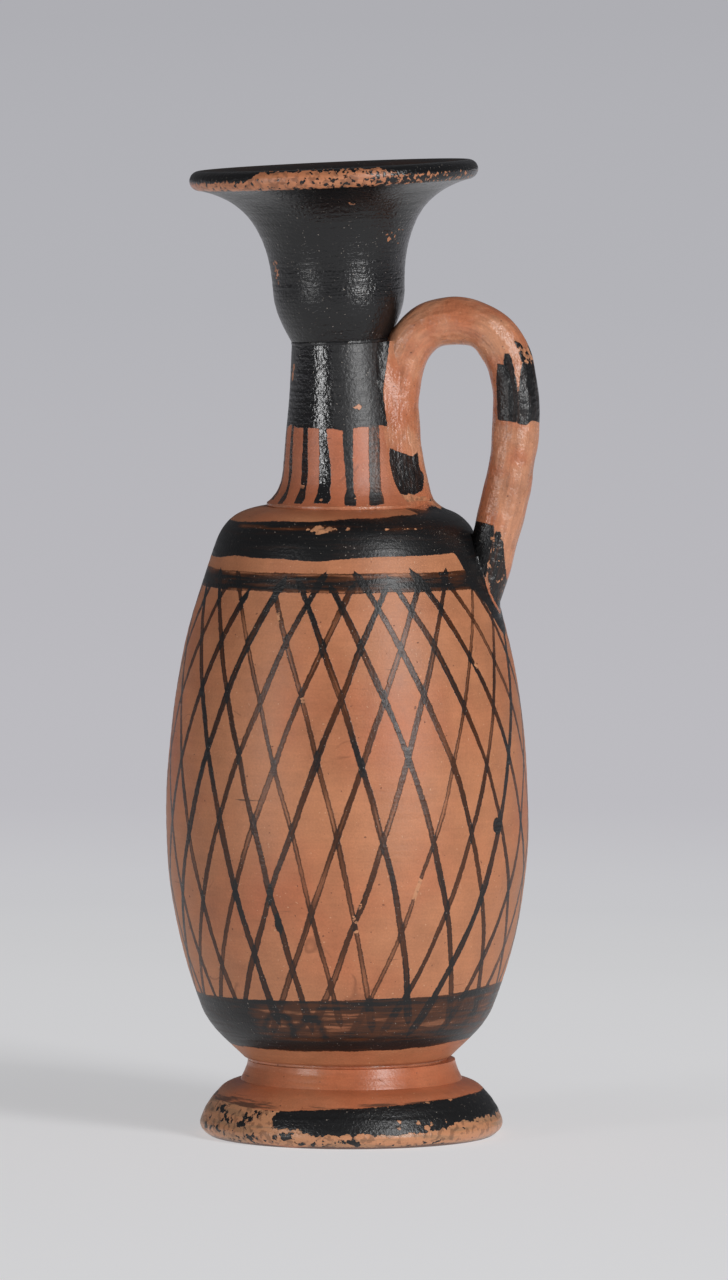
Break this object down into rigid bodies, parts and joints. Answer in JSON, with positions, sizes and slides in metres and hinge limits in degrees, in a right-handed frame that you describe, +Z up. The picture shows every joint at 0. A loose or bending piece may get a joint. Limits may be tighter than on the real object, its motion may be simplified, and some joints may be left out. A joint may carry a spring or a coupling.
{
  "type": "lekythos oil flask",
  "caption": "Fired-clay oil flask with a flaring mouth, a narrow neck, a rolled handle, a tall rounded belly and a disc foot, painted with a black net.",
  "frame": {"origin": "centre of the foot, on the surface that the flask stands on", "axes": "+Z up, +X towards the handle, +Y square to the plane of the handle"},
  "size_m": [0.0653, 0.063, 0.1694],
  "materials": {
    "clay": "burnished orange-brown earthenware, satin, with painted black lines and bands",
    "black_gloss": "thin black gloss slip over clay, worn through at the edges",
    "slip": "smoothed joining slip, matte"
  },
  "bodies": {
    "root": {"foot": "clay", "foot_slip_joint": "slip", "body": "clay", "neck_slip_joint": "slip", "neck": "black_gloss", "mouth_slip_joint": "slip", "mouth": "black_gloss", "handle": "clay", "handle_upper_slip_joint": "slip", "handle_lower_slip_joint": "slip"}
  },
  "joints": []
}
